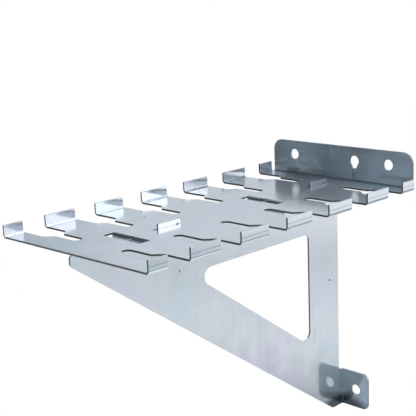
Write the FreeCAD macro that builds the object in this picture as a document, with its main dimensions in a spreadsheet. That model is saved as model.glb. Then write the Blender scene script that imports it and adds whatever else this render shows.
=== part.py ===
import FreeCAD, Part
import math
import os
import re
import Sketcher

# Wall-hung clamp rack in bright zinc-plated sheet steel: a slotted shelf, bent from one
# blank, and a support bracket, bent from another, that hooks up through the shelf.
#
# Frame, in millimetres: X runs along the wall, Y points into the wall, Z is up. The wall's
# surface is Y = 0, the bracket's plate stands on X = 0, and Z = 0 is the height of the
# upper row of screw holes, so the origin lies midway between the two outer screws.

DOCUMENT = FreeCAD.newDocument("ClampRack")

# Driving sizes: alias, value, meaning.
SIZES = [
    # sheet and bends
    ("gauge", 1.9, "thickness of the steel sheet"),
    ("bend_radius", 1.9, "inside radius of every bend"),
    ("corner_relief", 0.8, "flat left between a bend and the cut beside it"),
    # shelf
    ("deck_width", 203.2, "shelf width over the outside of both lips"),
    ("lip_height", 12.7, "height of a lip over the underside of the shelf"),
    ("end_lip", 21.9, "length of the first and last lip of each side"),
    ("slots_per_side", 6, "number of clamp slots along each side"),
    ("slot_pitch", 63.5, "distance from one clamp slot to the next"),
    ("slot_mouth", 26.7, "width of a clamp slot at the side of the shelf"),
    ("mouth_depth", 32.7, "reach of a slot's wide mouth, in from the side"),
    ("slot_neck", 10.5, "width of the narrow part that a clamp's bar stands in"),
    ("web_width", 60.0, "solid middle of the shelf, between the ends of opposite slots"),
    # wall flange of the shelf
    ("flange_inset", 0.3, "distance of the wall flange's ends in from the lips' bends"),
    ("flange_height", 40.2, "height of the wall flange over the underside of the shelf"),
    ("flange_corner", 12.0, "radius of the wall flange's upper corners"),
    ("screw_hole", 12.0, "diameter of the wall screw holes"),
    ("screw_spacing", 132.0, "distance between the two outer screw holes"),
    ("screw_rise", 22.4, "height of the upper screw row over the top of the shelf"),
    ("stud_offset", 20.5, "distance of the stud's screws from the bracket's plate"),
    ("keyhole_lobe", 7.8, "diameter of the keyhole's lower lobe"),
    ("keyhole_drop", 8.5, "reach of the keyhole's lower lobe below the screw row"),
    # windows with bent-down guide tabs
    ("window_length", 51.0, "length of a window across the shelf"),
    ("window_gap", 11.0, "open width between a window's front edge and its tab"),
    ("window_start", 58.5, "distance of the first window from the shelf's front edge"),
    ("window_spacing", 190.5, "distance between the two windows"),
    ("tab_drop", 14.0, "reach of a guide tab below the top of the shelf"),
    # hanging holes, used in the plating line
    ("hang_hole", 2.6, "diameter of the holes the blanks hang by while they are plated"),
    ("deck_hang_x", 47.0, "distance of the shelf's hanging hole from its middle"),
    ("front_hang_y", 262.8, "distance of the plate's front hanging hole from the wall"),
    ("front_hang_z", 69.8, "distance of the plate's front hanging hole below the screw row"),
    ("rear_hang_y", 24.5, "distance of the plate's rear hanging hole from the wall"),
    ("rear_hang_z", 138.0, "distance of the plate's rear hanging hole below the screw row"),
    # hooks, and their slots in the shelf
    ("hook_spacing", 230.8, "distance between the two hooks"),
    ("hook_setback", 31.9, "distance of the rear hook's shank from the wall"),
    ("hook_shank", 25.0, "length of a hook's shank along the shelf"),
    ("hook_nose", 4.5, "overhang of a hook's nose over the shelf"),
    ("hook_rise", 4.8, "height of a hook over the top of the shelf"),
    ("hook_corner", 1.2, "radius of a hook's upper corners"),
    ("hook_relief", 1.2, "radius of the relief in the corner under a hook's nose"),
    ("hook_travel", 5.0, "forward travel that frees the hooks from the shelf"),
    ("slide_gap", 0.2, "clearance over and under the shelf where the bracket slides"),
    ("side_gap", 0.3, "clearance beside the plate and at the ends of the hook slots"),
    # support bracket
    ("nose_overhang", 1.7, "reach of the bracket's nose in front of the shelf"),
    ("nose_height", 9.6, "height of the bracket's front edge"),
    ("nose_top_corner", 3.0, "radius of the nose's upper corner"),
    ("nose_low_corner", 5.0, "radius of the nose's lower corner"),
    ("foot_run", 20.9, "length of the level bottom edge, out from the wall"),
    ("heel_corner", 5.0, "radius where the sloping edge meets the bottom edge"),
    ("plate_setback", 8.3, "distance of the plate's rear edge from the wall"),
    ("top_rim", 51.0, "width left above the triangular opening"),
    ("slope_rim", 50.3, "width left below the triangular opening, square to the slope"),
    ("post_width", 53.1, "width left behind the triangular opening"),
    ("acute_corner", 9.5, "radius of the triangle's two sharp corners"),
    ("square_corner", 6.5, "radius of the triangle's square corner"),
    ("screw_drop", 275.8, "distance of the lower screw hole below the upper row"),
    ("foot_width", 38.0, "reach of the foot flange to the side, from the plate's middle"),
    ("foot_height", 44.2, "height of the foot flange"),
    ("foot_corner", 7.0, "radius of the foot flange's outer corners"),
    ("foot_relief", 4.2, "radius of the relief above the foot flange's bend"),
]

# Levels and distances that several features share, worked out from the driving sizes.
DERIVED = [
    ("bend_depth", "gauge + bend_radius", "outside radius of a bend"),
    ("half_deck", "deck_width / 2", "shelf's middle to the outside of a lip"),
    ("half_flange", "half_deck - bend_depth - flange_inset", "shelf's middle to the flange's end"),
    ("half_gauge", "gauge / 2", "plate's middle to its face"),
    ("half_slit", "gauge / 2 + side_gap", "half the width of a slot that the plate passes through"),
    ("deck_top", "-screw_rise", "level of the shelf's top"),
    ("deck_under", "deck_top - gauge", "level of the shelf's underside"),
    ("lip_top", "deck_under + lip_height", "level of the lips' upper edges"),
    ("flange_top", "deck_under + flange_height", "level of the wall flange's upper edge"),
    ("lip_end", "bend_depth + corner_relief", "distance of the last lips' ends from the wall"),
    ("lip_run", "(slots_per_side - 1) * slot_pitch + slot_mouth + 2 * end_lip",
     "length from the first lip's front to the last lip's end"),
    ("deck_front", "-lip_end - lip_run", "position of the shelf's front edge"),
    ("first_slot", "deck_front + end_lip + slot_mouth / 2", "position of the first clamp slot"),
    ("tab_face", "deck_front + window_start + window_gap", "position of the first tab's face"),
    ("tab_root", "tab_face + bend_depth + corner_relief", "position of the first tab's root"),
    ("plate_top", "deck_under - slide_gap", "level of the plate's top edge"),
    ("plate_front", "deck_front - nose_overhang", "position of the plate's front edge"),
    ("nose_low", "plate_top - nose_height", "level of the nose's lower corner"),
    ("foot_top", "-screw_drop + foot_height / 2", "level of the foot flange's upper edge"),
    ("foot_low", "-screw_drop - foot_height / 2", "level of the plate's bottom edge"),
    ("slope_run", "-foot_run - plate_front", "level length of the sloping edge"),
    ("slope_fall", "nose_low - foot_low", "drop of the sloping edge"),
    ("slope_length", "sqrt(slope_run ^ 2 + slope_fall ^ 2)", "length of the sloping edge"),
    ("opening_top", "plate_top - top_rim", "level of the triangle's upper edge"),
    ("opening_rear", "-plate_setback - post_width", "position of the triangle's rear edge"),
    ("inner_slope", "nose_low + slope_rim * slope_length / slope_run",
     "level of the triangle's sloping edge, carried on to the plate's front edge"),
    ("opening_front", "plate_front + (inner_slope - opening_top) * slope_run / slope_fall",
     "position of the triangle's front corner, before rounding"),
    ("opening_low", "inner_slope - (opening_rear - plate_front) * slope_fall / slope_run",
     "level of the triangle's lower corner, before rounding"),
]

SHEET = DOCUMENT.addObject("Spreadsheet::Sheet", "Sizes")
rows = [(alias, str(value), meaning) for alias, value, meaning in SIZES]
rows += [(alias, "=" + formula, meaning) for alias, formula, meaning in DERIVED]
for number, (alias, content, meaning) in enumerate(rows, start=1):
    SHEET.set(f"A{number}", meaning)
    SHEET.set(f"B{number}", content)
    SHEET.setAlias(f"B{number}", alias)
DOCUMENT.recompute()

ALIAS_WORD = re.compile(r"\b(" + "|".join(alias for alias, _, _ in rows) + r")\b")
MATCH = 0.01  # how closely an edge must lie to the place it is looked for at


def size(alias):
    """Present value of a size in the sheet."""
    return float(SHEET.get(alias))


def bind(thing, target, formula):
    """Tie a property or a sketch constraint to a formula over the sheet's aliases."""
    thing.setExpression(target, ALIAS_WORD.sub(r"Sizes.\1", formula))


# ------------------------------------------------------------------ sketches
def new_sketch(body, name, plane, offset=None):
    """Sketch on one of the body's own origin planes, moved along its normal by a formula."""
    sketch = body.newObject("Sketcher::SketchObject", name)
    support = [item for item in body.Origin.OriginFeatures if item.Role == plane][0]
    sketch.AttachmentSupport = [(support, "")]
    sketch.MapMode = "FlatFace"
    if offset is not None:
        bind(sketch, "AttachmentOffset.Base.z", offset)
    return sketch


def hold_point(sketch, geometry, position, place):
    """Hold a point of the sketch at two formulas, measured from the sketch's origin."""
    for kind, formula in zip(("DistanceX", "DistanceY"), place):
        index = sketch.addConstraint(Sketcher.Constraint(kind, -1, 1, geometry, position, 1.0))
        bind(sketch, f"Constraints[{index}]", formula)


def add_outline(sketch, places):
    """Closed outline of straight lines through places, each a pair of formulas."""
    count = len(places)
    turns = [2 * math.pi * step / count for step in range(count)]
    starts = [FreeCAD.Vector(math.cos(turn), math.sin(turn), 0) for turn in turns]
    lines = []
    for step, start in enumerate(starts):
        segment = Part.LineSegment(start, starts[(step + 1) % count])
        lines.append(sketch.addGeometry(segment, False))
    for step, line in enumerate(lines):
        following = lines[(step + 1) % count]
        sketch.addConstraint(Sketcher.Constraint("Coincident", line, 2, following, 1))
        hold_point(sketch, line, 1, places[step])


def add_rectangle(sketch, low, high):
    """Rectangle between two opposite corners, each a pair of formulas."""
    add_outline(sketch, [low, (high[0], low[1]), high, (low[0], high[1])])


def add_circle(sketch, place, diameter):
    """Circle with its centre and its diameter tied to formulas."""
    start = Part.Circle(FreeCAD.Vector(0, 0, 0), FreeCAD.Vector(0, 0, 1), 1.0)
    circle = sketch.addGeometry(start, False)
    hold_point(sketch, circle, 3, place)
    index = sketch.addConstraint(Sketcher.Constraint("Diameter", circle, 2.0))
    bind(sketch, f"Constraints[{index}]", diameter)


# ------------------------------------------------------------------ features
def pad(body, name, sketch, length, both_ways=False, backwards=False):
    """Thicken a sketch by a formula's length."""
    feature = body.newObject("PartDesign::Pad", name)
    feature.Profile = sketch
    feature.SideType = "Symmetric" if both_ways else "One side"
    feature.Reversed = backwards
    bind(feature, "Length", length)
    body.Tip = feature
    DOCUMENT.recompute()
    return feature


def cut_through(body, name, sketch):
    """Cut a sketch right through the body, both ways from the sketch's plane."""
    feature = body.newObject("PartDesign::Pocket", name)
    feature.Profile = sketch
    feature.SideType = "Symmetric"
    feature.Type = "ThroughAll"
    body.Tip = feature
    DOCUMENT.recompute()
    return feature


def edges_along(shape, axis, places):
    """Names of the straight edges along one axis at the given places on the other two."""
    others = [index for index in range(3) if index != axis]
    names = []
    for number, edge in enumerate(shape.Edges, start=1):
        if edge.Curve.TypeId != "Part::GeomLine":
            continue
        ends = [vertex.Point for vertex in edge.Vertexes]
        along = all(abs(ends[0][index] - ends[1][index]) < MATCH for index in others)
        for place in places:
            near = all(abs(ends[0][index] - at) < MATCH for index, at in zip(others, place))
            if along and near:
                names.append(f"Edge{number}")
    return names


def round_edges(body, name, axis, places, radius, count):
    """Round a known number of straight edges along an axis (0, 1, 2 for X, Y, Z)."""
    base = body.Tip
    names = edges_along(base.Shape, axis, places)
    if len(names) != count:
        raise RuntimeError(f"{name}: {len(names)} edges found, {count} expected")
    feature = body.newObject("PartDesign::Fillet", name)
    feature.Base = (base, names)
    bind(feature, "Radius", radius)
    body.Tip = feature
    DOCUMENT.recompute()
    return feature


def new_body(name):
    """Empty body, standing at the rack's origin, whose label is the sub-part's name."""
    body = DOCUMENT.addObject("PartDesign::Body", name)
    body.Label = name
    body.Placement = FreeCAD.Placement()
    return body


# ------------------------------------------------------------------ slotted shelf
shelf = new_body("slotted_shelf")

# Deck and lips: one U-shaped section, run from the last lips' ends to the front edge.
sketch = new_sketch(shelf, "channel_section", "XZ_Plane", "lip_end")
add_outline(sketch, [
    ("-half_deck", "deck_under"),
    ("half_deck", "deck_under"),
    ("half_deck", "lip_top"),
    ("half_deck - gauge", "lip_top"),
    ("half_deck - gauge", "deck_top"),
    ("-half_deck + gauge", "deck_top"),
    ("-half_deck + gauge", "lip_top"),
    ("-half_deck", "lip_top"),
])
pad(shelf, "deck_and_lips", sketch, "lip_run")

# Wall flange: an L-shaped section, narrower than the deck so that the corners stay open.
sketch = new_sketch(shelf, "flange_section", "YZ_Plane")
add_outline(sketch, [
    ("-lip_end", "deck_under"),
    ("0", "deck_under"),
    ("0", "flange_top"),
    ("-gauge", "flange_top"),
    ("-gauge", "deck_top"),
    ("-lip_end", "deck_top"),
])
pad(shelf, "wall_flange", sketch, "2 * half_flange", both_ways=True)

# Bends: the outside radius is the inside radius and the sheet's thickness together.
outer_x = size("half_deck")
inner_x = outer_x - size("gauge")
under = size("deck_under")
top = size("deck_top")
round_edges(shelf, "lip_bends_outside", 1, [(outer_x, under), (-outer_x, under)], "bend_depth", 2)
round_edges(shelf, "lip_bends_inside", 1, [(inner_x, top), (-inner_x, top)], "bend_radius", 2)
round_edges(shelf, "wall_bend_outside", 0, [(0, under)], "bend_depth", 1)
round_edges(shelf, "wall_bend_inside", 0, [(-size("gauge"), top)], "bend_radius", 1)
flange_x = size("half_flange")
flange_top = size("flange_top")
round_edges(shelf, "flange_corners", 1, [(flange_x, flange_top), (-flange_x, flange_top)],
            "flange_corner", 2)

# Screw holes: one near each end of the flange, and one on the line of the wall's stud. The
# stud's hole has a lower lobe, so the shelf can hang on its screw while the others go in.
sketch = new_sketch(shelf, "upper_screws", "XZ_Plane")
for place in ("-screw_spacing / 2", "stud_offset", "screw_spacing / 2"):
    add_circle(sketch, (place, "0"), "screw_hole")
cut_through(shelf, "screw_holes", sketch)
sketch = new_sketch(shelf, "lobe", "XZ_Plane")
add_circle(sketch, ("stud_offset", "keyhole_lobe / 2 - keyhole_drop"), "keyhole_lobe")
cut_through(shelf, "keyhole", sketch)

# Clamp slots: a wide mouth through the lip, a funnel at 45 degrees, and a narrow part with
# a round end. Opposite slots are cut together, then repeated along the shelf.
sketch = new_sketch(shelf, "first_slot_pair", "XY_Plane")
for side in ("", "-"):
    add_outline(sketch, [
        (f"{side}(half_deck + gauge)", "first_slot - slot_mouth / 2"),
        (f"{side}(half_deck + gauge)", "first_slot + slot_mouth / 2"),
        (f"{side}(half_deck - mouth_depth)", "first_slot + slot_mouth / 2"),
        (f"{side}(half_deck - mouth_depth - (slot_mouth - slot_neck) / 2)", "first_slot + slot_neck / 2"),
        (f"{side}(web_width + slot_neck) / 2", "first_slot + slot_neck / 2"),
        (f"{side}(web_width + slot_neck) / 2", "first_slot - slot_neck / 2"),
        (f"{side}(half_deck - mouth_depth - (slot_mouth - slot_neck) / 2)", "first_slot - slot_neck / 2"),
        (f"{side}(half_deck - mouth_depth)", "first_slot - slot_mouth / 2"),
    ])
slot_pair = cut_through(shelf, "slot_pair", sketch)
sketch = new_sketch(shelf, "round_ends", "XY_Plane")
for side in ("", "-"):
    add_circle(sketch, (f"{side}(web_width + slot_neck) / 2", "first_slot"), "slot_neck")
slot_ends = cut_through(shelf, "slot_ends", sketch)

clamp_slots = shelf.newObject("PartDesign::LinearPattern", "clamp_slots")
clamp_slots.Originals = [slot_pair, slot_ends]
clamp_slots.Direction = (sketch, ["V_Axis"])
bind(clamp_slots, "Length", "(slots_per_side - 1) * slot_pitch")
bind(clamp_slots, "Occurrences", "slots_per_side")
shelf.Tip = clamp_slots
DOCUMENT.recompute()

# Windows: two openings across the middle. The metal from each is not lost, but bent down
# at the rear edge as a tab, which its shears leave clear of the window's sides.
sketch = new_sketch(shelf, "window_outlines", "XY_Plane")
for rank in (0, 1):
    add_rectangle(sketch,
                  ("-window_length / 2", f"tab_face - window_gap + {rank} * window_spacing"),
                  ("window_length / 2", f"tab_root + {rank} * window_spacing"))
cut_through(shelf, "windows", sketch)
sketch = new_sketch(shelf, "tab_sections", "YZ_Plane")
for rank in (0, 1):
    add_outline(sketch, [
        (f"tab_face + {rank} * window_spacing", "deck_top - tab_drop"),
        (f"tab_face + gauge + {rank} * window_spacing", "deck_top - tab_drop"),
        (f"tab_face + gauge + {rank} * window_spacing", "deck_under"),
        (f"tab_root + {rank} * window_spacing", "deck_under"),
        (f"tab_root + {rank} * window_spacing", "deck_top"),
        (f"tab_face + {rank} * window_spacing", "deck_top"),
    ])
pad(shelf, "tabs", sketch, "window_length - 2 * side_gap", both_ways=True)
tab_fronts = [size("tab_face") + rank * size("window_spacing") for rank in (0, 1)]
round_edges(shelf, "tab_bends_outside", 0, [(front, top) for front in tab_fronts],
            "bend_depth", 2)
round_edges(shelf, "tab_bends_inside", 0,
            [(front + size("gauge"), under) for front in tab_fronts], "bend_radius", 2)

# A notch splits each tab and its bend, and straddles the bracket's plate.
sketch = new_sketch(shelf, "notch_outlines", "XY_Plane")
for rank in (0, 1):
    add_rectangle(sketch,
                  ("-half_slit", f"tab_face - gauge + {rank} * window_spacing"),
                  ("half_slit", f"tab_face + bend_depth + {rank} * window_spacing"))
cut_through(shelf, "tab_notches", sketch)

# Hook slots: as long as a hook's shank and its travel, with a clearance at each end.
sketch = new_sketch(shelf, "hook_slot_outlines", "XY_Plane")
for rank in (0, 1):
    shank_rear = f"-hook_setback - {rank} * hook_spacing"
    add_rectangle(sketch,
                  ("-half_slit", f"{shank_rear} - hook_shank - hook_travel - side_gap"),
                  ("half_slit", f"{shank_rear} + side_gap"))
cut_through(shelf, "hook_slots", sketch)

# Hanging hole, on the middle line between the second and third slots.
sketch = new_sketch(shelf, "deck_hanging_hole", "XY_Plane")
add_circle(sketch, ("-deck_hang_x", "first_slot + 1.5 * slot_pitch"), "hang_hole")
cut_through(shelf, "deck_hanging", sketch)

# ------------------------------------------------------------------ support bracket
bracket = new_body("support_bracket")

# Plate: a knee with its long level edge under the shelf and two hooks on that edge. The
# hooks stand up through the shelf and their noses point back over it, toward the wall.
outline = [
    ("-plate_setback", "plate_top"),
    ("-plate_setback", "foot_top"),
    ("0", "foot_top"),
    ("0", "foot_low"),
    ("-foot_run", "foot_low"),
    ("plate_front", "nose_low"),
    ("plate_front", "plate_top"),
]
for rank in (1, 0):
    shank_rear = f"-hook_setback - {rank} * hook_spacing"
    outline += [
        (f"{shank_rear} - hook_shank", "plate_top"),
        (f"{shank_rear} - hook_shank", "deck_top + hook_rise"),
        (f"{shank_rear} + hook_nose", "deck_top + hook_rise"),
        (f"{shank_rear} + hook_nose", "deck_top + slide_gap"),
        (shank_rear, "deck_top + slide_gap"),
        (shank_rear, "plate_top"),
    ]
sketch = new_sketch(bracket, "plate_outline", "YZ_Plane")
add_outline(sketch, outline)
pad(bracket, "plate", sketch, "gauge", both_ways=True)

# Triangular opening, the same width in from the sloping edge all along.
sketch = new_sketch(bracket, "triangle", "YZ_Plane")
add_outline(sketch, [
    ("opening_front", "opening_top"),
    ("opening_rear", "opening_top"),
    ("opening_rear", "opening_low"),
])
cut_through(bracket, "opening", sketch)

# Foot flange: bent to the side, flat against the wall.
sketch = new_sketch(bracket, "foot_section", "XY_Plane", "foot_low")
add_rectangle(sketch, ("-half_gauge", "-gauge"), ("foot_width", "0"))
pad(bracket, "foot_flange", sketch, "foot_height")
round_edges(bracket, "foot_bend_outside", 2, [(-size("half_gauge"), 0)], "bend_depth", 1)
round_edges(bracket, "foot_bend_inside", 2, [(size("half_gauge"), -size("gauge"))],
            "bend_radius", 1)

# Rounded corners of the blank.
wall_side = -size("plate_setback")
front_side = size("plate_front")
round_edges(bracket, "foot_relief_corner", 0, [(wall_side, size("foot_top"))], "foot_relief", 1)
round_edges(bracket, "foot_corners", 1,
            [(size("foot_width"), size("foot_top")), (size("foot_width"), size("foot_low"))],
            "foot_corner", 2)
round_edges(bracket, "heel", 0, [(-size("foot_run"), size("foot_low"))], "heel_corner", 1)
round_edges(bracket, "nose_below", 0, [(front_side, size("nose_low"))], "nose_low_corner", 1)
round_edges(bracket, "nose_above", 0, [(front_side, size("plate_top"))], "nose_top_corner", 1)
round_edges(bracket, "opening_sharp_corners", 0,
            [(size("opening_front"), size("opening_top")),
             (size("opening_rear"), size("opening_low"))],
            "acute_corner", 2)
round_edges(bracket, "opening_square_corner", 0, [(size("opening_rear"), size("opening_top"))],
            "square_corner", 1)
hook_top = size("deck_top") + size("hook_rise")
hook_ends = []
for rank in (0, 1):
    shank_rear_at = -size("hook_setback") - rank * size("hook_spacing")
    hook_ends.append((shank_rear_at - size("hook_shank"), hook_top))
    hook_ends.append((shank_rear_at + size("hook_nose"), hook_top))
round_edges(bracket, "hook_corners", 0, hook_ends, "hook_corner", 4)

# Small round holes: the reliefs under the hooks' noses, and two hanging holes.
sketch = new_sketch(bracket, "small_hole_outlines", "YZ_Plane")
for rank in (0, 1):
    corner = (f"-hook_setback - {rank} * hook_spacing", "deck_top + slide_gap")
    add_circle(sketch, corner, "2 * hook_relief")
add_circle(sketch, ("-front_hang_y", "-front_hang_z"), "hang_hole")
add_circle(sketch, ("-rear_hang_y", "-rear_hang_z"), "hang_hole")
cut_through(bracket, "small_holes", sketch)

# Lower screw hole, straight below the shelf's keyhole.
sketch = new_sketch(bracket, "lower_screw", "XZ_Plane")
add_circle(sketch, ("stud_offset", "-screw_drop"), "screw_hole")
cut_through(bracket, "foot_screw_hole", sketch)

# ------------------------------------------------------------------ checks and STEP files
DOCUMENT.recompute()
for item in DOCUMENT.Objects:
    if "Invalid" in item.State or "Error" in item.State:
        raise RuntimeError(f"{item.Name} did not build: {item.State}")

os.makedirs("parts", exist_ok=True)
for body in (shelf, bracket):
    shape = body.Shape
    if shape.isNull() or not shape.isValid() or len(shape.Solids) != 1:
        raise RuntimeError(f"{body.Label} is not one valid solid")
    shape.exportStep(f"parts/{body.Label}.step")
    box = shape.BoundBox
    print(body.Label, f"{shape.Volume:.0f} mm3",
          f"X {box.XMin:.1f}..{box.XMax:.1f}",
          f"Y {box.YMin:.1f}..{box.YMax:.1f}",
          f"Z {box.ZMin:.1f}..{box.ZMax:.1f}")
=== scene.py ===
# %% [markdown]
# # A wall rack for clamps, in bright zinc-plated sheet steel
#
# The rack is two bent sheets: a slotted shelf that is screwed to a wall, and a triangular
# bracket that hooks up through the shelf and braces it from below. Both have their final
# shape already, so this lesson is about light and metal: bright zinc plate has almost no
# colour of its own, and nearly everything the eye sees on it is a reflection.
#
# The model comes in as a fixed frame. Its two nodes keep their shape and place; they get
# modifiers and materials, and nothing is moved.

# %% Load the model
import math

import bpy
from mathutils import Matrix, Vector


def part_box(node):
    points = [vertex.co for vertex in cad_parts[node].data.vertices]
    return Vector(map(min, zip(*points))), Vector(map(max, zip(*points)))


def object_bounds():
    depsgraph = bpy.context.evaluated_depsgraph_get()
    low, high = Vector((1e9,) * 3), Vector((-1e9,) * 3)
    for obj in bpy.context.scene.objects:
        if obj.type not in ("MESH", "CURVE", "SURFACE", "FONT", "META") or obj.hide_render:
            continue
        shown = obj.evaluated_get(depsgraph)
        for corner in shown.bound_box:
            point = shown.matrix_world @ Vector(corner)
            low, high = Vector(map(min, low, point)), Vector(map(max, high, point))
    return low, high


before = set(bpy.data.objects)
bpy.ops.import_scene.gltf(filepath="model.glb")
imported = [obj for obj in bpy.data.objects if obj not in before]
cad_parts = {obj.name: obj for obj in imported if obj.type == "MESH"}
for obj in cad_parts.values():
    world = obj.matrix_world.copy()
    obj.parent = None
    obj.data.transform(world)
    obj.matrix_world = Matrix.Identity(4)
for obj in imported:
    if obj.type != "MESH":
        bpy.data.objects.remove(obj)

CAD_LOW, CAD_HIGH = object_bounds()
MM = 0.001  # one millimetre, in Blender's metres
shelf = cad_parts["slotted_shelf"]
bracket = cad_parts["support_bracket"]
size_mm = (CAD_HIGH - CAD_LOW) / MM
print(f"rack is {size_mm.x:.0f} x {size_mm.y:.0f} x {size_mm.z:.0f} mm")

# %% [markdown]
# ## The camera
#
# The rack is seen from the front right and a little above, as someone standing at a bench
# would see it. The camera could be turned by hand or by a constraint that aims it at an
# empty. Here its axes are worked out from three angles, because each angle can then be
# changed alone: the heading it looks along, how far it looks down, and a slight roll.

# %% Camera: where it looks
HEADING, DOWN, ROLL = -0.7786, 0.2269, -0.0403  # radians


def camera_axes(heading, down, roll):
    """The camera's right, up and backward axes, as a rotation matrix."""
    forward = Vector((math.sin(heading) * math.cos(down),
                      math.cos(heading) * math.cos(down),
                      -math.sin(down)))
    level = Vector((math.cos(heading), -math.sin(heading), 0.0))
    upright = level.cross(forward)
    right = math.cos(roll) * level + math.sin(roll) * upright
    up = -math.sin(roll) * level + math.cos(roll) * upright
    return Matrix((right, up, -forward)).transposed()


print(f"camera looks down by {math.degrees(DOWN):.0f} degrees")

# %% [markdown]
# A long lens from about 1.1 m keeps the rack's lines nearly parallel. Its focal length is
# known in pixels of the image, and Blender wants it in millimetres of the sensor.

# %% Camera: lens and place
IMAGE_PIXELS = 416
FOCAL_PIXELS = 1012.5  # the distance from lens to image, counted in pixels of the image
SENSOR_WIDTH = 36.0  # of a full-frame camera, in millimetres
CAMERA_PLACE = (0.6895, -0.9174, 0.2115)
NEAREST, FARTHEST = 0.05, 50.0  # what lies outside these distances isn't drawn

camera_data = bpy.data.cameras.new("camera")
camera_data.sensor_width = SENSOR_WIDTH
camera_data.lens = SENSOR_WIDTH * FOCAL_PIXELS / IMAGE_PIXELS
camera_data.clip_start, camera_data.clip_end = NEAREST, FARTHEST
camera = bpy.data.objects.new("camera", camera_data)
camera.matrix_world = (Matrix.Translation(CAMERA_PLACE)
                       @ camera_axes(HEADING, DOWN, ROLL).to_4x4())
bpy.context.scene.collection.objects.link(camera)
bpy.context.scene.camera = camera
bpy.context.scene.view_settings.view_transform = "Standard"
print(f"lens {camera_data.lens:.1f} mm")

# %% [markdown]
# ## Small tools: colours and nodes
#
# Colours are written as sRGB hex values, the way a paint or plating sample would be read
# from a screen, and one function turns them to the linear values that Blender works in. It
# can make the colour stronger or weaker, which a light or a dirty surface needs.
#
# One function adds a node: it sets the node's options and fills its sockets, and a value
# that is itself a socket becomes a link. Asked for an output, it returns that socket, so
# that nodes can be chained.

# %% Colour and node helpers
def colour(code, strength=1.0):
    """Linear RGBA from an sRGB hex code, times a strength."""
    channels = [int(code[at:at + 2], 16) / 255 for at in (1, 3, 5)]
    linear = [c / 12.92 if c <= 0.04045 else ((c + 0.055) / 1.055) ** 2.4 for c in channels]
    return (*(channel * strength for channel in linear), 1.0)


def add(tree, kind, sockets=None, output=None, **options):
    """Add a node to a tree; sockets maps a socket's name or number to a value or a link."""
    made = tree.nodes.new(kind)
    for option, value in options.items():
        setattr(made, option, value)
    for name, value in (sockets or {}).items():
        if isinstance(value, bpy.types.NodeSocket):
            tree.links.new(value, made.inputs[name])
        else:
            made.inputs[name].default_value = value
    return made if output is None else made.outputs[output]


print("mid grey is", round(colour("#808080")[0], 3), "in linear light")

# %% [markdown]
# A node that mixes colours keeps hidden sockets for numbers and vectors beside the ones it
# shows, and they share names. So its sockets go by number here: 0 is the factor, 6 and 7
# are the two colours, and output 2 is the mixed colour. The same node mixes two numbers in
# sockets 2 and 3, and then output 0 has the result.

# %% Sockets of a mix
MIX_FACTOR, MIX_A, MIX_B, MIX_RESULT = 0, 6, 7, 2
MIX_NUMBER_A, MIX_NUMBER_B, MIX_NUMBER_RESULT = 2, 3, 0
print("colours mix in sockets", MIX_A, "and", MIX_B)

# %% [markdown]
# ## The studio
#
# A mirror shows the room, so the room is designed before the metal. It is an ordinary
# product studio: a white sweep curves up behind the object, a large soft light stands at
# the back right, a strip light and an overhead light hang above, and the camera's side of
# the room is curtained and mostly unlit. Faces that look back at the sweep turn pale and
# faces that look at the unlit side turn slate. That contrast is what makes metal look like
# metal.
#
# The room could be built from planes and lamps. Here it is painted on the world instead,
# because then each soft panel of light can be placed by the direction it is seen in, which
# is all that a reflection depends on. Directions are a heading, in degrees clockwise from
# +Y as on a compass, and an elevation above the level.

# %% Studio: directions
world = bpy.data.worlds.new("studio")
bpy.context.scene.world = world
world.use_nodes = True
room = world.node_tree
room.nodes.clear()

looked_at = add(room, "ShaderNodeTexCoord", output="Generated")
axes = add(room, "ShaderNodeSeparateXYZ", {0: looked_at})
turned = add(room, "ShaderNodeMath", {
    0: axes.outputs["X"], 1: axes.outputs["Y"],
}, 0, operation="ARCTAN2")
raised = add(room, "ShaderNodeMath", {0: axes.outputs["Z"]}, 0, operation="ARCSINE")
heading_seen, elevation_seen = (
    add(room, "ShaderNodeMath", {0: angle, 1: math.degrees(1.0)}, 0, operation="MULTIPLY")
    for angle in (turned, raised))
print("directions are in degrees")

# %% [markdown]
# A panel is a soft-edged rectangle of brightness in those directions. It lies over what is
# there already, as a lamp or a sheet of white board hides the wall behind it. Its width and
# its height are each a band with soft edges: one smooth step up, times one down.

# %% Studio: a panel
def band(tree, value, low, high, blur):
    """1 between low and high, and 0 outside, with soft edges that are blur wide."""
    inside = [add(tree, "ShaderNodeMapRange", {
        "Value": value, "From Min": side - blur / 2, "From Max": side + blur / 2,
        "To Min": before, "To Max": 1.0 - before,
    }, "Result", interpolation_type="SMOOTHSTEP") for side, before in ((low, 0.0), (high, 1.0))]
    return add(tree, "ShaderNodeMath", {0: inside[0], 1: inside[1]}, 0, operation="MULTIPLY")


def panel(behind, headings, elevations, blur, shade, strength):
    """Lay a panel over the room; blur is the softness of its sides, and of its top and foot."""
    amount = add(room, "ShaderNodeMath", {
        0: band(room, heading_seen, *headings, blur[0]),
        1: band(room, elevation_seen, *elevations, blur[1]),
    }, 0, operation="MULTIPLY")
    return add(room, "ShaderNodeMix", {
        MIX_FACTOR: amount, MIX_A: behind, MIX_B: colour(shade, strength),
    }, MIX_RESULT, data_type="RGBA")


print("a panel is a band of headings times a band of elevations")

# %% [markdown]
# The walls come first. They are slate, and darker low down, where little light reaches.

# %% Studio: walls
WALL, WALL_LOW = colour("#7E8C98", 1.10), colour("#5E7080", 0.25)
SKIRTING_LOW, SKIRTING_HIGH = -26.0, -20.0  # the elevations between which the wall darkens

wall_height = add(room, "ShaderNodeMapRange", {
    "Value": elevation_seen, "From Min": SKIRTING_LOW, "From Max": SKIRTING_HIGH,
}, "Result", interpolation_type="SMOOTHSTEP")
walls = add(room, "ShaderNodeMix", {
    MIX_FACTOR: wall_height, MIX_A: WALL_LOW, MIX_B: WALL,
}, MIX_RESULT, data_type="RGBA")
print("walls painted")

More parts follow.
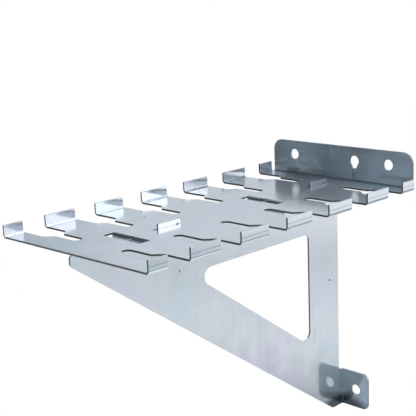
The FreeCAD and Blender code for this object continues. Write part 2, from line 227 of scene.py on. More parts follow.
# %% [markdown]
# Each panel is named for what it is in a real studio. On the camera's side these are mostly
# dark or dull things: curtains with a gap, a doorway, the camera's stand and bag. Faces that
# look to the front mirror them, which are the wall flange, the foot and the front ends of
# the lips. The narrow panels show there as soft dark and light patches.

# %% Studio: the camera's side
CAMERA_SIDE = [
    # name, headings, elevations, blur, shade, strength
    ("front wall", (-175, -105), (-21, 40), (10, 6), "#6B7A86", 0.72),
    ("front wall, low", (-175, -105), (-23.4, -18), (10, 1.5), "#8FA0AE", 0.95),
    ("grey card", (-132.6, -112), (-21, -1), (1.6, 4), "#C2C6CA", 1.05),
    ("camera stand", (-143.5, -133.6), (-19.5, -12), (1.6, 3), "#565E6B", 0.60),
    ("gap in the curtains", (-141.9, -140.4), (-14, -2), (1.0, 4), "#93A6AF", 1.35),
    ("black curtain", (-143.9, -141.9), (-12, -2), (0.9, 4), "#2E3A42", 0.70),
    ("black curtain, higher up", (-143.0, -139.6), (2, 30), (0.9, 4), "#2E3A42", 0.70),
    ("doorway", (-165, -144.0), (0, 30), (2.0, 3), "#9AAAB7", 1.20),
    ("doorstep", (-165, -143.8), (-25.0, -19), (0.9, 1.5), "#AFBDCB", 1.90),
    ("wall by the camera", (130, 156), (-23.2, 0), (6, 1.5), "#C4CED6", 1.15),
    ("wall by the camera, higher up", (130, 156), (2, 30), (6, 4), "#CCD6DC", 1.55),
    ("camera bag", (142.0, 158), (-17, 30), (0.8, 2), "#56626C", 0.50),
]
print(f"{len(CAMERA_SIDE)} panels on the camera's side")

# %% [markdown]
# Behind the rack hangs the sweep. The deck is seen at a shallow angle and mirrors the left
# part of it, and the bracket's face and the outer faces of the lips mirror the right part,
# so the sweep's brightness is their brightness. The black flags at its ends keep bright
# threads out of the folds, and give a plate something dark to mirror.

# %% Studio: the sweep behind
SWEEP = [
    ("sweep behind, left", (-80, 5), (4, 60), (16, 5), "#EAF4FB", 0.79),
    ("sweep behind, left, higher up", (-80, 5), (14.0, 60), (16, 5), "#F3F6FF", 0.98),
    ("dim end of the sweep", (-110, -52), (4, 24), (7, 5), "#DDEDF5", 0.72),
    ("black flag, far left", (-137, -42), (22, 56), (6, 6), "#1A2126", 0.40),
    ("skirting behind, left", (-80, 5), (-24, 4), (16, 5), "#E3ECF4", 1.45),
    ("sweep behind, right", (5, 80), (-23.4, 60), (12, 1.0), "#F5F7FC", 1.24),
    ("shaded fold of the sweep", (5, 80), (-17.6, -14.6), (12, 2), "#E2EAEF", 0.90),
    ("white board, right", (33.5, 75), (-14.0, -4), (4, 1.5), "#FCFBFF", 1.34),
    ("black flag, right", (66, 80), (-40, 3), (6, 4), "#24282C", 0.95),
]
print(f"{len(SWEEP)} panels behind")

# %% [markdown]
# The lights are the brightest panels, with a dark gap between them that keeps them apart.
# The overhead light is weak, so that the deck keeps its shade when it is seen from above,
# and the strip light high behind does most of the work.

# %% Studio: the lights
LIGHTS = [
    ("soft light, right", (22, 54.8), (5, 19.5), (6, 3), "#FEFDFF", 3.00),
    ("soft light, its far end", (54.2, 128), (5, 19.5), (1.5, 3), "#EBF5F6", 2.05),
    ("gap behind the lights", (-62, 48), (33, 50), (8, 4), "#20282E", 0.80),
    ("soft light overhead", (-180, 180), (60, 91), (1, 10), "#F4F8FC", 0.92),
    ("strip light, high behind", (-75, 80), (48, 62), (12, 5), "#E2EFFA", 5.2),
]
print(f"{len(LIGHTS)} panels for the lights")

# %% [markdown]
# Below everything lies a pale table, which the undersides mirror. It is darker on the
# camera's side, where the camera and its stand shade it. With the table the list is whole,
# and the panels are laid over the walls one by one, each over the ones before.

# %% Studio: the table, and laying the panels
TABLE = [
    ("table top", (-180, 180), (-91, -33), (1, 6), "#F4F6FA", 0.72),
    ("table's back edge, left", (-80, 5), (-60, -26), (12, 4), "#C9D5DE", 0.95),
    ("table in the camera's shade", (-185, -95), (-60, -33), (16, 6), "#8E9BA6", 0.60),
]
seen_by_metal = walls
for name, *shape in CAMERA_SIDE + SWEEP + LIGHTS + TABLE:
    seen_by_metal = panel(seen_by_metal, *shape)
    print("laid:", name)

# %% [markdown]
# The camera itself sees plain white behind the rack. Light Path tells a ray that comes
# straight from the camera from one that has bounced, so the white costs no light: it adds
# nothing to the metal, which goes on seeing the painted room.

# %% Studio: what is shown
WHITE = (1.0, 1.0, 1.0, 1.0)

straight = add(room, "ShaderNodeLightPath", output="Is Camera Ray")
shown = add(room, "ShaderNodeMix", {
    MIX_FACTOR: straight, MIX_A: seen_by_metal, MIX_B: WHITE,
}, MIX_RESULT, data_type="RGBA")
glow = add(room, "ShaderNodeBackground", {"Color": shown}, 0)
add(room, "ShaderNodeOutputWorld", {"Surface": glow})
print("studio done,", len(room.nodes), "nodes")

# %% [markdown]
# ## Sheared edges
#
# A press cut both blanks out of zinc-coated sheet. The faces stay bright, but the cut walls
# show bare, torn steel, so they are darker and rougher. They need a finish of their own,
# and something has to tell them apart. It could be done by hand, face by face, with a
# second material. A ray does it for any shape: shot inward from a face of the sheet, it
# comes out after one thickness, and from a cut wall it runs on through the metal. Geometry
# Nodes can shoot that ray from every face.

# %% Sheared edges: shoot a ray inward
GAUGE = 1.9 * MM  # thickness of the sheet
LEAVE_SURFACE = 0.05 * MM  # the ray starts just inside, so it doesn't hit its own face
FAR_ENOUGH = GAUGE * 1.25

marker = bpy.data.node_groups.new("mark_sheared_edges", "GeometryNodeTree")
marker.interface.new_socket("Geometry", in_out="INPUT", socket_type="NodeSocketGeometry")
marker.interface.new_socket("Geometry", in_out="OUTPUT", socket_type="NodeSocketGeometry")
marker.is_modifier = True
incoming = add(marker, "NodeGroupInput", output=0)
outward = add(marker, "GeometryNodeInputNormal", output=0)
inward, step_inside = (
    add(marker, "ShaderNodeVectorMath", {0: outward, "Scale": -length}, 0, operation="SCALE")
    for length in (1.0, LEAVE_SURFACE))
on_face = add(marker, "GeometryNodeInputPosition", output=0)
start = add(marker, "ShaderNodeVectorMath", {0: on_face, 1: step_inside}, 0, operation="ADD")
hit = add(marker, "GeometryNodeRaycast", {
    "Target Geometry": incoming,
    "Source Position": start,
    "Ray Direction": inward,
    "Ray Length": FAR_ENOUGH,
}, "Is Hit")
print(f"a ray runs {FAR_ENOUGH / MM:.2f} mm into the sheet")

# %% [markdown]
# The answer is stored on each face as the attribute "sheared", which the material reads. A
# flat face is cut into triangles, and some of them are too thin to have a normal that can
# be trusted, so those count as plated.

# %% Sheared edges: keep the answer
SLIVER_AREA = 0.02 * MM ** 2

missed = add(marker, "FunctionNodeBooleanMath", {0: hit}, 0, operation="NOT")
area = add(marker, "GeometryNodeInputMeshFaceArea", output=0)
has_area = add(marker, "FunctionNodeCompare", {
    0: area, 1: SLIVER_AREA,
}, 0, data_type="FLOAT", operation="GREATER_THAN")
is_cut = add(marker, "FunctionNodeBooleanMath", {0: missed, 1: has_area}, 0, operation="AND")
stored = add(marker, "GeometryNodeStoreNamedAttribute", {
    "Geometry": incoming, "Name": "sheared", "Value": is_cut,
}, 0, data_type="FLOAT", domain="FACE")
smooth = add(marker, "GeometryNodeSetShadeSmooth", {"Geometry": stored}, 0)
add(marker, "NodeGroupOutput", {0: smooth})
print("cut walls are marked by", len(marker.nodes), "nodes")

# %% [markdown]
# The edges of a plated sheet are never perfectly sharp: the punch rolls one edge over and
# plating rounds the rest, by a tenth of a millimetre or so. That is enough to catch the
# light when one looks closely, and small enough to leave the dark cut walls dark. The Weld
# modifier comes first, because the imported mesh is split along its creases. Decimate then
# joins the triangles of each flat face, so that no sliver between them spoils the bevel,
# and Weighted Normal comes last, so that flat faces stay flat to the eye.

# %% Soften the edges
EDGE_RADIUS = 0.11 * MM
EDGE_STEPS = 2
WELD_REACH = 0.001 * MM
FLAT_WITHIN = math.radians(0.5)
EDGE_FROM = math.radians(40)  # the bends are cut finer than this, so they aren't bevelled

for sheet in (shelf, bracket):
    weld = sheet.modifiers.new("join_split_creases", "WELD")
    weld.merge_threshold = WELD_REACH
    cut = sheet.modifiers.new("mark_sheared_edges", "NODES")
    cut.node_group = marker
    dissolve = sheet.modifiers.new("join_flat_triangles", "DECIMATE")
    dissolve.decimate_type = "DISSOLVE"
    dissolve.angle_limit = FLAT_WITHIN
    bevel = sheet.modifiers.new("edge_rounding", "BEVEL")
    bevel.width = EDGE_RADIUS
    bevel.segments = EDGE_STEPS
    bevel.limit_method = "ANGLE"
    bevel.angle_limit = EDGE_FROM
    bevel.use_clamp_overlap = False
    normals = sheet.modifiers.new("flat_faces_stay_flat", "WEIGHTED_NORMAL")
    normals.keep_sharp = False
    print(f"{sheet.name}: {len(sheet.modifiers)} modifiers")

# %% [markdown]
# ## Bright zinc plate
#
# The finish is electroplated zinc with a clear passivate: a few thousandths of a millimetre
# of zinc on smooth cold-rolled sheet. It gives the eye a slightly blue, silvery mirror, in
# which reflections stay readable but lose their crisp edge. A polished metal has a
# metallic value of 1 and a roughness under 0.1, and bright plate is a little duller than
# that. The film of passivate scatters some light too, so metallic is set a little under 1
# and a rough clear coat lies over the metal. That coat shows most at a grazing view, where
# it gives the deck its haze.

# %% Zinc: the bare values
ZINC = "#CBD0D5"
ZINC_DULL = "#AEB4BA"  # where plating is rubbed thin
ZINC_MARK_AND_SHADE = "#3E4954"  # the die's mark on the shelf, and painted shade at the bracket's lowest corner
ZINC_ROUGHNESS = 0.13
ZINC_METALLIC = 0.86
FILM_AMOUNT, FILM_ROUGHNESS = 1.0, 0.5
print("zinc is", ZINC)

# %% [markdown]
# Most marks on the plate come from smooth noise. Patterns are laid out in the metal's own
# coordinates, in metres, so a pattern's scale is one over its real spacing. Each sheet gets
# its own starting point in the noise, its seed. A second spacing draws the pattern out, for
# marks that are longer than they are wide.

# %% Zinc: mottling
SEED_SHIFT = (1.0, 0.7, 1.3)  # the seed moves the pattern by this much along X, Y and Z
DARK, LIGHT = 0.3, 0.7  # nearly all of a smooth noise lies between these
FAINT = 0.35  # a mark that starts here leaves the darkest parts of the noise alone


def mottle(tree, place, spacing, seed, detail=2.0, roughness=0.5, length=None):
    """Smooth light and dark patches, spacing apart, and length apart along Y."""
    squeezed = add(tree, "ShaderNodeMapping", {
        "Vector": place,
        "Location": [seed * shift for shift in SEED_SHIFT],
        "Scale": (1 / spacing, 1 / (length or spacing), 1 / spacing),
    }, 0)
    return add(tree, "ShaderNodeTexNoise", {
        "Vector": squeezed, "Scale": 1.0, "Detail": detail, "Roughness": roughness,
    }, "Fac")


print(f"smooth noise runs from {DARK} to {LIGHT}")

# %% [markdown]
# The passivate film is so thin that it tints the metal like oil on water, but far more
# faintly. Its clouds are a hand's width apart. The brightest parts of the noise turn lilac
# and the darkest sea green.

# %% Zinc: clouds of the film
ZINC_LILAC = "#CCCED8"
ZINC_SEA_GREEN = "#C5D0D5"
CLOUD_SIZE = 90 * MM
CLOUD_CLEAR, CLOUD_LILAC, CLOUD_GREEN = 0.50, 0.66, 0.34  # levels of the noise


def film_clouds(tree, place, seed):
    """Where the film is lilac, and where it is sea green."""
    clouds = mottle(tree, place, CLOUD_SIZE, seed)
    return [add(tree, "ShaderNodeMapRange", {
        "Value": clouds, "From Min": CLOUD_CLEAR, "From Max": full,
    }, "Result") for full in (CLOUD_LILAC, CLOUD_GREEN)]


print(f"film clouds {CLOUD_SIZE / MM:.0f} mm apart")

# %% [markdown]
# Lines and streaks follow the rolling direction, and they follow it round the bends, because
# each sheet was rolled flat and bent later. So the streaks are laid out on the flat blank:
# one coordinate runs along the rolling direction and one across it. On the shelf, rolling
# runs from front to back and then up the wall flange; on the bracket it runs up and down.
# Each coordinate is a weighted sum of X, Y and Z, which is enough where the bends are
# square. Only the lips need a little more: there, height counts as a step across.

# %% Zinc: the flat blank
SHELF_ACROSS, SHELF_ALONG = (1.0, 0.0, 0.0), (0.0, 1.0, 1.0)
BRACKET_ACROSS, BRACKET_ALONG = (1.0, 1.0, 0.0), (0.0, 0.0, 1.0)
LIP_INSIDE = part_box("slotted_shelf")[1].x - 2 * GAUGE  # a lip begins about here, from the middle
LIP_BLUR = 0.1 * MM


def from_middle(tree, place):
    """Distance from the shelf's middle, to either side."""
    sideways = add(tree, "ShaderNodeSeparateXYZ", {0: place}, "X")
    return add(tree, "ShaderNodeMath", {0: sideways}, 0, operation="ABSOLUTE")


def on_a_lip(tree, place):
    """1 on the shelf's lips and 0 on its deck."""
    return add(tree, "ShaderNodeMapRange", {
        "Value": from_middle(tree, place),
        "From Min": LIP_INSIDE, "From Max": LIP_INSIDE + LIP_BLUR,
    }, "Result")


def on_the_blank(tree, place, across, along, has_lips):
    """A place on the flat blank: x across the rolling direction, y along it."""
    x, y = (add(tree, "ShaderNodeVectorMath", {0: place, 1: weights}, "Value",
                operation="DOT_PRODUCT") for weights in (across, along))
    if has_lips:
        height = add(tree, "ShaderNodeSeparateXYZ", {0: place}, "Z")
        x = add(tree, "ShaderNodeMath", {
            0: on_a_lip(tree, place), 1: height, 2: x,
        }, 0, operation="MULTIPLY_ADD")
    return add(tree, "ShaderNodeCombineXYZ", {0: x, 1: y}, 0)


print(f"lips begin {LIP_INSIDE / MM:.1f} mm from the middle")

# %% [markdown]
# The rolls that made the sheet leave two kinds of mark along it: broad, soft streaks, which
# are a little duller, and fine lines, which only show in the gloss and the relief. Real
# lines are a tenth of a millimetre apart. Here they are as coarse as they need to show.

# %% Zinc: marks of the rolls
STREAK_SPACING, STREAK_LENGTH = 7 * MM, 220 * MM
ROLL_LINE_SPACING, ROLL_LINE_LENGTH = 0.9 * MM, 60 * MM
STREAK_TINT = 0.07


def roll_marks(tree, blank, seed):
    """Soft streaks and fine lines along the rolling direction."""
    streaks = mottle(tree, blank, STREAK_SPACING, seed, length=STREAK_LENGTH)
    lines = mottle(tree, blank, ROLL_LINE_SPACING, seed, detail=1.0, length=ROLL_LINE_LENGTH)
    return streaks, lines


print(f"streaks {STREAK_SPACING / MM:.0f} mm apart, lines {ROLL_LINE_SPACING / MM:.1f} mm")

# %% [markdown]
# Here and there sits a speck, where a bubble clung to the metal in the bath. Cells of a
# Voronoi texture scatter them: each cell has one point, and a speck is what lies within a
# fraction of a millimetre of it.

# %% Zinc: specks
ZINC_SPECK = "#A0A8AE"
SPECK_SPACING = 9 * MM
SPECK_SIZE = 0.45 * MM
SPECK_CORE = 0.6  # the share of a speck's size at which it is full


def bath_specks(tree, place):
    """Where a speck sits."""
    distance = add(tree, "ShaderNodeTexVoronoi", {
        "Vector": place, "Scale": 1 / SPECK_SPACING, "Randomness": 1.0,
    }, "Distance")
    size = SPECK_SIZE / SPECK_SPACING  # the texture counts in cells
    return add(tree, "ShaderNodeMapRange", {
        "Value": distance, "From Min": size, "From Max": SPECK_CORE * size,
    }, "Result")


print(f"a speck about every {SPECK_SPACING / MM:.0f} mm")

# %% [markdown]
# The bracket's lowest corner gets painted shade: the zinc darkens towards that corner. It
# could be painted by hand; worked out from the corner's place it stays right if the bracket
# changes. The shade is a flattened ball around that corner: heights are stretched before the
# distance is measured.

# %% Zinc: painted shade at the bracket's lowest corner
# The corner's painted shade: where it centres, how far it reaches and how dark it gets.
SHADED_CORNER = (0.0, -14 * MM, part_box("support_bracket")[0].z)
CORNER_SHADE_REACH, CORNER_SHADE_CORE = 52 * MM, 0.55  # how far it reaches, and the share of that where it is full
CORNER_SHADE_FLATNESS = 3.3
CORNER_SHADE_DEPTH = 0.95


def corner_shade(tree, place):
    """Where painted shade darkens the bracket's lowest corner."""
    from_shaded_corner = add(tree, "ShaderNodeVectorMath", {
        0: place, 1: SHADED_CORNER,
    }, 0, operation="SUBTRACT")
    flattened = add(tree, "ShaderNodeVectorMath", {
        0: from_shaded_corner, 1: (1.0, 1.0, CORNER_SHADE_FLATNESS),
    }, 0, operation="MULTIPLY")
    far = add(tree, "ShaderNodeVectorMath", {0: flattened}, "Value", operation="LENGTH")
    return add(tree, "ShaderNodeMapRange", {
        "Value": far, "From Min": CORNER_SHADE_REACH, "From Max": CORNER_SHADE_CORE * CORNER_SHADE_REACH,
        "To Max": CORNER_SHADE_DEPTH,
    }, "Result")


print(f"painted corner shade reaches {CORNER_SHADE_REACH / MM:.0f} mm")

# %% [markdown]
# The lips were bent in a press brake, and its die left a faint line along the outside of
# each one. It runs level, a set height over the shelf's underside, and it is on the outer
# faces only, so it takes two conditions: far enough out from the middle, and near enough to
# that level.

# %% Zinc: the die's mark on the lips
SHELF_TOP = -22.4 * MM  # the model counts heights from the upper row of screws
DIE_MARK_LEVEL = SHELF_TOP - GAUGE + 6.9 * MM
DIE_MARK_WIDTH, DIE_MARK_CORE = 0.8 * MM, 0.2
DIE_MARK_DEPTH = 0.35
OUTSIDE_FROM, OUTSIDE_FULL = LIP_INSIDE + GAUGE, LIP_INSIDE + 1.2 * GAUGE  # from the middle


def die_mark(tree, place):
    """Where the bending die pressed on the outside of a lip."""
    outside = add(tree, "ShaderNodeMapRange", {
        "Value": from_middle(tree, place), "From Min": OUTSIDE_FROM, "From Max": OUTSIDE_FULL,
    }, "Result")
    height = add(tree, "ShaderNodeSeparateXYZ", {0: place}, "Z")
    above = add(tree, "ShaderNodeMath", {
        0: height, 1: DIE_MARK_LEVEL,
    }, 0, operation="SUBTRACT")
    distance = add(tree, "ShaderNodeMath", {0: above}, 0, operation="ABSOLUTE")
    line = add(tree, "ShaderNodeMapRange", {
        "Value": distance, "From Min": DIE_MARK_WIDTH, "From Max": DIE_MARK_CORE * DIE_MARK_WIDTH,
        "To Max": DIE_MARK_DEPTH,
    }, "Result")
    return add(tree, "ShaderNodeMath", {0: outside, 1: line}, 0, operation="MULTIPLY")


print(f"die mark {(DIE_MARK_LEVEL - SHELF_TOP + GAUGE) / MM:.1f} mm over the underside")

# %% [markdown]
# Wear sits on the outermost edges, in patches, where clamps and hands rub the plating thin.
# A Bevel node gives the normal that the metal would have with a much larger rounding, and
# where that differs from the true normal, an edge is near. The difference is read from the
# product of the two normals, which is 1 where they agree.

# %% Zinc: worn edges
EDGE_WEAR_REACH = 0.8 * MM
EDGE_WEAR_SAMPLES = 4
NORMALS_AGREE, NORMALS_PART = 0.995, 0.90
WEAR_PATCH = 14 * MM
WEAR_STARTS, WEAR_FULL = 0.42, 0.66  # levels of the noise
WEAR_SEED = 9.0
WEAR_TINT = 0.6


def worn_edges(tree, place, seed):
    """Where the plating is rubbed thin."""
    rounded = add(tree, "ShaderNodeBevel", {
        "Radius": EDGE_WEAR_REACH,
    }, "Normal", samples=EDGE_WEAR_SAMPLES)
    true = add(tree, "ShaderNodeNewGeometry", output="Normal")
    same = add(tree, "ShaderNodeVectorMath", {
        0: rounded, 1: true,
    }, "Value", operation="DOT_PRODUCT")
    near_edge = add(tree, "ShaderNodeMapRange", {
        "Value": same, "From Min": NORMALS_AGREE, "From Max": NORMALS_PART,
    }, "Result")
    patches = add(tree, "ShaderNodeMapRange", {
        "Value": mottle(tree, place, WEAR_PATCH, seed + WEAR_SEED),
        "From Min": WEAR_STARTS, "From Max": WEAR_FULL,
    }, "Result")
    return add(tree, "ShaderNodeMath", {0: near_edge, 1: patches}, 0, operation="MULTIPLY")


print(f"wear comes within {EDGE_WEAR_REACH / MM:.1f} mm of an edge")

# %% [markdown]
# A metal's gloss says more about it than its colour. Handling leaves smudges the size of a
# fingertip or the heel of a hand, the streaks and lines of the rolls each add a touch, and
# worn plating is duller. So the roughness starts from the smudges, and the rest is added.

# %% Zinc: gloss
SMUDGE_SIZE = 22 * MM
SMUDGE_SEED = 3.0
SMUDGE_DETAIL, SMUDGE_GRAIN = 4.0, 0.6
CLEANEST, SMUDGED = 0.85 * ZINC_ROUGHNESS, 1.35 * ZINC_ROUGHNESS
LINE_GLOSS = (DARK, LIGHT, -0.010, 0.010)  # from these levels to these roughnesses
STREAK_GLOSS = (FAINT, LIGHT, -0.006, 0.010)
WEAR_GLOSS = (0.0, 1.0, 0.0, 0.07)


def plate_gloss(tree, place, seed, streaks, lines, worn):
    """The plate's roughness."""
    smudges = mottle(tree, place, SMUDGE_SIZE, seed + SMUDGE_SEED, SMUDGE_DETAIL, SMUDGE_GRAIN)
    gloss = 0.0
    for pattern, (low, high, least, most) in (
            (smudges, (FAINT, LIGHT, CLEANEST, SMUDGED)),
            (lines, LINE_GLOSS), (streaks, STREAK_GLOSS), (worn, WEAR_GLOSS)):
        change = add(tree, "ShaderNodeMapRange", {
            "Value": pattern, "From Min": low, "From Max": high, "To Min": least, "To Max": most,
        }, "Result")
        gloss = add(tree, "ShaderNodeMath", {0: gloss, 1: change}, 0, operation="ADD")
    return gloss


print(f"roughness {CLEANEST:.2f} to {SMUDGED:.2f} before wear")

# %% [markdown]
# Brushing marks too fine to see still show: they smear every reflection across themselves.
# Anisotropy does that, and its tangent is the direction of the smear. These marks run
# level, from side to side, unlike the lines of the rolls, so reflections are drawn out up
# and down: along Z on anything upright, and along Y on the deck and the lips. Crossing the
# normal with X gives both on the shelf, and a touch of Y settles the lips, where that
# product vanishes.

# %% Zinc: the direction of the smear
ZINC_ANISOTROPY = 0.6
TOUCH_OF_Y = (0.0, 0.02, 0.0)


def smear_direction(tree, on_shelf):
    """The tangent that reflections are drawn out along."""
    if not on_shelf:
        return add(tree, "ShaderNodeCombineXYZ", {2: 1.0}, 0)
    normal = add(tree, "ShaderNodeNewGeometry", output="True Normal")
    crossed = add(tree, "ShaderNodeVectorMath", {
        0: normal, 1: (1.0, 0.0, 0.0),
    }, 0, operation="CROSS_PRODUCT")
    return add(tree, "ShaderNodeVectorMath", {0: crossed, 1: TOUCH_OF_Y}, 0, operation="ADD")


print("anisotropy", ZINC_ANISOTROPY)

# %% [markdown]
# A flat sheet isn't a flat mirror. It waves slowly, by a few hundredths of a millimetre
# over the width of a finger or two, and that bends long reflections. The lines of the rolls
# are shallower still. Both are far too shallow to be worth modelling, so they are bump.

# %% Zinc: relief
WAVE_SIZE, WAVE_HEIGHT = 38 * MM, 0.035 * MM
WAVE_SEED = 7.0
ROLL_LINE_HEIGHT, ROLL_LINE_BUMP = 0.002 * MM, 0.25


def sheet_relief(tree, place, seed, lines):
    """The normal of the waving, lined sheet."""
    waves = mottle(tree, place, WAVE_SIZE, seed + WAVE_SEED, detail=1.0)
    wavy = add(tree, "ShaderNodeBump", {
        "Height": waves, "Strength": 1.0, "Distance": WAVE_HEIGHT,
    }, 0)
    return add(tree, "ShaderNodeBump", {
        "Height": lines, "Strength": ROLL_LINE_BUMP, "Distance": ROLL_LINE_HEIGHT,
        "Normal": wavy,
    }, 0)


print(f"waves {WAVE_SIZE / MM:.0f} mm apart")

# %% [markdown]
# ## Cut steel
#
# On the cut walls the steel is bare. It could be one plain grey, but a shear leaves fine
# lines in it, which are drawn half a millimetre apart, coarser than they are, so that they
# show. On the shelf, the walls of the punched slots get painted shade: they are darker than
# the outer outline, at the front and along the lips. On both sheets, edges that face up get
# a painted highlight: they are lighter, as if lit from above. All three are masks again, so
# one finish serves every cut wall.

# %% Cut steel
CUT_STEEL_LIGHT, CUT_STEEL_DARK, TOP_HIGHLIGHT_STEEL = "#8F8A84", "#716D69", "#D4D6D8"
CUT_STEEL_ROUGHNESS = 0.28
SHEAR_LINE_SPACING = 0.5 * MM
SLOT_SHADE_KEEPS = 0.70  # the share of its colour that a slot wall in painted shade keeps
SHELF_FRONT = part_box("slotted_shelf")[0].y
UNSHADED_RIM, RIM_END = 1 * MM, 2 * MM  # how far back from the front the unshaded rim goes
FACES_UP_A_LITTLE, FACES_UP = 0.3, 0.8  # the upward part of the normal


def unshaded_outline(tree, place):
    """1 on the shelf's outer outline, which keeps its full colour, and 0 in its slots, which get
    painted shade.
    """
    back = add(tree, "ShaderNodeSeparateXYZ", {0: place}, "Y")
    rim = add(tree, "ShaderNodeMapRange", {
        "Value": back, "From Min": SHELF_FRONT + UNSHADED_RIM, "From Max": SHELF_FRONT + RIM_END,
        "To Min": 1.0, "To Max": 0.0,
    }, "Result", interpolation_type="SMOOTHSTEP")
    return add(tree, "ShaderNodeMath", {
        0: rim, 1: on_a_lip(tree, place),
    }, 0, operation="MAXIMUM")


def cut_steel(tree, place, seed, on_shelf):
    """The colour of a cut wall."""
    shear_lines = add(tree, "ShaderNodeMapRange", {
        "Value": mottle(tree, place, SHEAR_LINE_SPACING, seed),
        "From Min": DARK, "From Max": LIGHT,
    }, "Result")
    # Cut edges that face up get a painted highlight: a lighter steel, as if lit from above.
    facing = add(tree, "ShaderNodeNewGeometry", output="True Normal")
    upward = add(tree, "ShaderNodeSeparateXYZ", {0: facing}, "Z")
    lit_from_above = add(tree, "ShaderNodeMapRange", {
        "Value": upward, "From Min": FACES_UP_A_LITTLE, "From Max": FACES_UP,
    }, "Result")
    steel = add(tree, "ShaderNodeMix", {
        MIX_FACTOR: shear_lines, MIX_A: colour(CUT_STEEL_DARK), MIX_B: colour(CUT_STEEL_LIGHT),
    }, MIX_RESULT, data_type="RGBA")
    # The slot walls get painted shade: a darker copy of the cut steel, kept off the outer outline.
    if on_shelf:
        steel = add(tree, "ShaderNodeMix", {
            MIX_FACTOR: unshaded_outline(tree, place),
            MIX_A: colour(CUT_STEEL_DARK, SLOT_SHADE_KEEPS), MIX_B: steel,
        }, MIX_RESULT, data_type="RGBA")
    return add(tree, "ShaderNodeMix", {
        MIX_FACTOR: lit_from_above, MIX_A: steel, MIX_B: colour(TOP_HIGHLIGHT_STEEL),
    }, MIX_RESULT, data_type="RGBA")


print("cut steel is", CUT_STEEL_DARK, "to", CUT_STEEL_LIGHT)

# %% [markdown]
# ## Both finishes on one sheet
#
# The colour is built up in layers: plain zinc, the film's clouds, the rolls' streaks, the
# die's mark on the shelf and the painted shade at the bracket's lowest corner, specks, and
# wear. Each layer is a tint and a mask that says where it lies. The cut steel then takes over
# wherever the attribute "sheared" says so. Two materials could do the same, but one keeps
# each sheet whole.

# %% The colour of a sheet
def sheet_colour(tree, place, seed, streaks, worn, on_shelf):
    """Zinc with its layers of tint."""
    lilac, sea_green = film_clouds(tree, place, seed)
    streaked = add(tree, "ShaderNodeMapRange", {
        "Value": streaks, "From Min": FAINT, "From Max": LIGHT, "To Max": STREAK_TINT,
    }, "Result")
    # The shelf gets the die's mark; the bracket gets painted shade at its lowest corner.
    mark_and_shade = die_mark(tree, place) if on_shelf else corner_shade(tree, place)
    rubbed_thin = add(tree, "ShaderNodeMapRange", {
        "Value": worn, "To Max": WEAR_TINT,
    }, "Result")
    layers = [(lilac, ZINC_LILAC), (sea_green, ZINC_SEA_GREEN), (streaked, ZINC_DULL),
              (mark_and_shade, ZINC_MARK_AND_SHADE), (bath_specks(tree, place), ZINC_SPECK),
              (rubbed_thin, ZINC_DULL)]
    tinted = colour(ZINC)
    for mask, tint in layers:
        tinted = add(tree, "ShaderNodeMix", {
            MIX_FACTOR: mask, MIX_A: tinted, MIX_B: colour(tint),
        }, MIX_RESULT, data_type="RGBA")
    return tinted


print("a sheet's colour is ready to be laid")

# %% [markdown]
# One function makes the material for either sheet, because both went through the same bath.
# They differ in their seed, their rolling direction and one layer: the die's mark on the shelf,
# and painted shade at the bracket's lowest corner.

# %% The material of a sheet
def zinc_plate(name, seed, across, along, on_shelf):
    """Bright zinc on a bent sheet, with bare steel where it was cut."""
    material = bpy.data.materials.new(name)
    material.use_nodes = True
    tree = material.node_tree
    tree.nodes.clear()
    place = add(tree, "ShaderNodeTexCoord", output="Object")
    sheared = add(tree, "ShaderNodeAttribute", output="Fac", attribute_name="sheared")
    blank = on_the_blank(tree, place, across, along, has_lips=on_shelf)
    streaks, lines = roll_marks(tree, blank, seed)
    worn = worn_edges(tree, place, seed)
    surface = add(tree, "ShaderNodeMix", {
        MIX_FACTOR: sheared,
        MIX_A: sheet_colour(tree, place, seed, streaks, worn, on_shelf),
        MIX_B: cut_steel(tree, place, seed, on_shelf),
    }, MIX_RESULT, data_type="RGBA")
    roughness = add(tree, "ShaderNodeMix", {
        MIX_FACTOR: sheared,
        MIX_NUMBER_A: plate_gloss(tree, place, seed, streaks, lines, worn),
        MIX_NUMBER_B: CUT_STEEL_ROUGHNESS,
    }, MIX_NUMBER_RESULT, data_type="FLOAT")
    metal = add(tree, "ShaderNodeBsdfPrincipled", {
        "Base Color": surface, "Metallic": ZINC_METALLIC, "Roughness": roughness,
        "Coat Weight": FILM_AMOUNT, "Coat Roughness": FILM_ROUGHNESS,
        "Anisotropic": ZINC_ANISOTROPY, "Tangent": smear_direction(tree, on_shelf),
        "Normal": sheet_relief(tree, place, seed, lines),
    }, 0)
    add(tree, "ShaderNodeOutputMaterial", {"Surface": metal})
    print(f"{name}: {len(tree.nodes)} nodes")
    return material


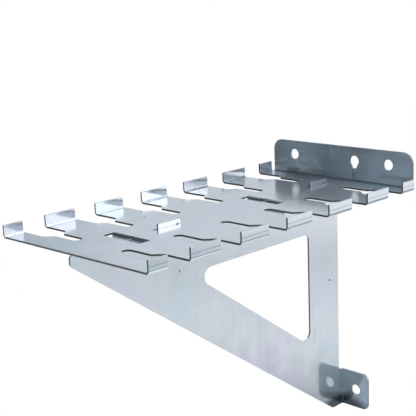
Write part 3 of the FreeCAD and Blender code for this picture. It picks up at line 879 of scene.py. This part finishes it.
SHELF_SEED, BRACKET_SEED = 1.7, 5.2
shelf.material_slots[0].material = zinc_plate(
    "zinc_shelf", SHELF_SEED, SHELF_ACROSS, SHELF_ALONG, on_shelf=True)
bracket.material_slots[0].material = zinc_plate(
    "zinc_bracket", BRACKET_SEED, BRACKET_ACROSS, BRACKET_ALONG, on_shelf=False)

# %% [markdown]
# ## The floor
#
# The rack hangs on a wall, so the floor is well below it: a pale, plain sweep. It could be
# a very large plane. A disc is enough, and it meets the world's white without a line.

# %% Floor: the sheet
FLOOR_MIDDLE = (0, -0.2, -1.30)
FLOOR_RADIUS = 1.5
FLOOR_CORNERS = 96

corners = [Vector((math.cos(turn), math.sin(turn), 0)) * FLOOR_RADIUS
           for turn in (2 * math.pi * step / FLOOR_CORNERS for step in range(FLOOR_CORNERS))]
floor_mesh = bpy.data.meshes.new("floor")
floor_mesh.from_pydata(corners, [], [list(range(FLOOR_CORNERS))])
floor = bpy.data.objects.new("floor", floor_mesh)
floor.location = FLOOR_MIDDLE
bpy.context.scene.collection.objects.link(floor)
print(f"floor is {2 * FLOOR_RADIUS:.0f} m across")

# %% [markdown]
# It is matt white paper, which scatters nearly all of the light that it gets. To the camera
# and in reflections it glows a little as well, so it reads as white, and it adds nothing to
# the light on the rack. Where the rack shades it, the glow is all that is left.

# %% Floor: white paper
PAPER = "#F0F1F2"
PAPER_GLOW = 0.45

paper = bpy.data.materials.new("white_paper_sweep")
paper.use_nodes = True
tree = paper.node_tree
tree.nodes.clear()
matt = add(tree, "ShaderNodeBsdfDiffuse", {"Color": colour(PAPER)}, 0)
rays = add(tree, "ShaderNodeLightPath").outputs
seen = rays["Is Camera Ray"]
for mirrored in ("Is Glossy Ray", "Is Transmission Ray"):
    seen = add(tree, "ShaderNodeMath", {0: seen, 1: rays[mirrored]}, 0, operation="MAXIMUM")
lifted = add(tree, "ShaderNodeMath", {0: seen, 1: PAPER_GLOW}, 0, operation="MULTIPLY")
lift = add(tree, "ShaderNodeEmission", {"Color": WHITE, "Strength": lifted}, 0)
both = add(tree, "ShaderNodeAddShader", {0: matt, 1: lift}, 0)
add(tree, "ShaderNodeOutputMaterial", {"Surface": both})
floor_mesh.materials.append(paper)
print("paper is", PAPER)
